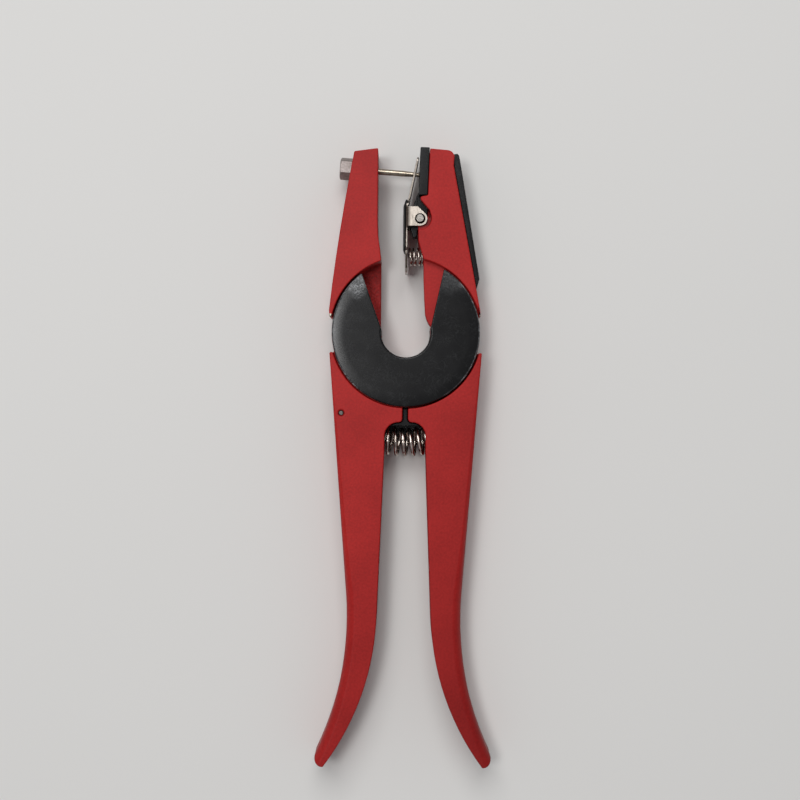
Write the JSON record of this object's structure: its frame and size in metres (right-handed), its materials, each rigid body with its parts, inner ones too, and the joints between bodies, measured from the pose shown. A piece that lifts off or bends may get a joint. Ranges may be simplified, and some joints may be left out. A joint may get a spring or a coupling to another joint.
{
  "type": "ear tag pliers",
  "caption": "Long-handled hand pliers with a steel pin, a moulded anvil and a sprung clip that close a two-piece livestock ear tag around an open throat.",
  "frame": {"origin": "middle of the tool's length and width, on the surface that its back cover rests on", "axes": "+Y towards the jaws, +X towards the jaw with the insert, +Z out of the front face"},
  "size_m": [0.0712, 0.2499, 0.0212],
  "materials": {
    "red_casting": "satin powder coat on an aluminium die-casting",
    "black_nylon": "satin moulded nylon",
    "black_rubber": "smooth rubber pad",
    "zinc_steel": "dull zinc plate",
    "spring_steel": "drawn and ground spring steel",
    "dark_steel": "blackened steel"
  },
  "bodies": {
    "front": {"front_lever": "red_casting", "front_cover": "black_nylon", "back_cover": "black_nylon", "cover_screws": "zinc_steel", "pivot_bearing": "black_nylon", "main_spring": "spring_steel", "tag_insert": "black_nylon", "clip_pin": "zinc_steel", "clip_pin_ring": "spring_steel", "clip_spring": "spring_steel", "spare_pin": "zinc_steel", "spare_pin_cover": "black_nylon", "latch_pin": "dark_steel", "latch_spring": "spring_steel"},
    "back": {"back_lever": "red_casting", "tag_pin": "zinc_steel", "pin_nut": "zinc_steel"},
    "clip": {"tag_clip": "spring_steel", "clip_pad": "black_rubber"},
    "latch": {"lock_latch": "dark_steel"}
  },
  "joints": [
    {"name": "lever_pivot", "type": "hinge", "parent": "front", "child": "back", "pos_m": [0, 0.05025, 0.0106], "axis": [0, 0, 1], "range_deg": [0, 25], "deforming": ["main_spring"]},
    {"name": "clip_hinge", "type": "hinge", "parent": "front", "child": "clip", "pos_m": [0.0054, 0.09635, 0.0106], "axis": [0, 0, 1], "range_deg": [0, 12], "stiffness_Nm_per_rad": 0.05, "springref_deg": -11.46, "deforming": ["clip_spring"]},
    {"name": "latch_pivot", "type": "hinge", "parent": "front", "child": "latch", "pos_m": [-0.0258, 0.01775, 0.0066], "axis": [0, 0, 1], "range_deg": [-9, 0], "deforming": ["latch_spring"]}
  ]
}
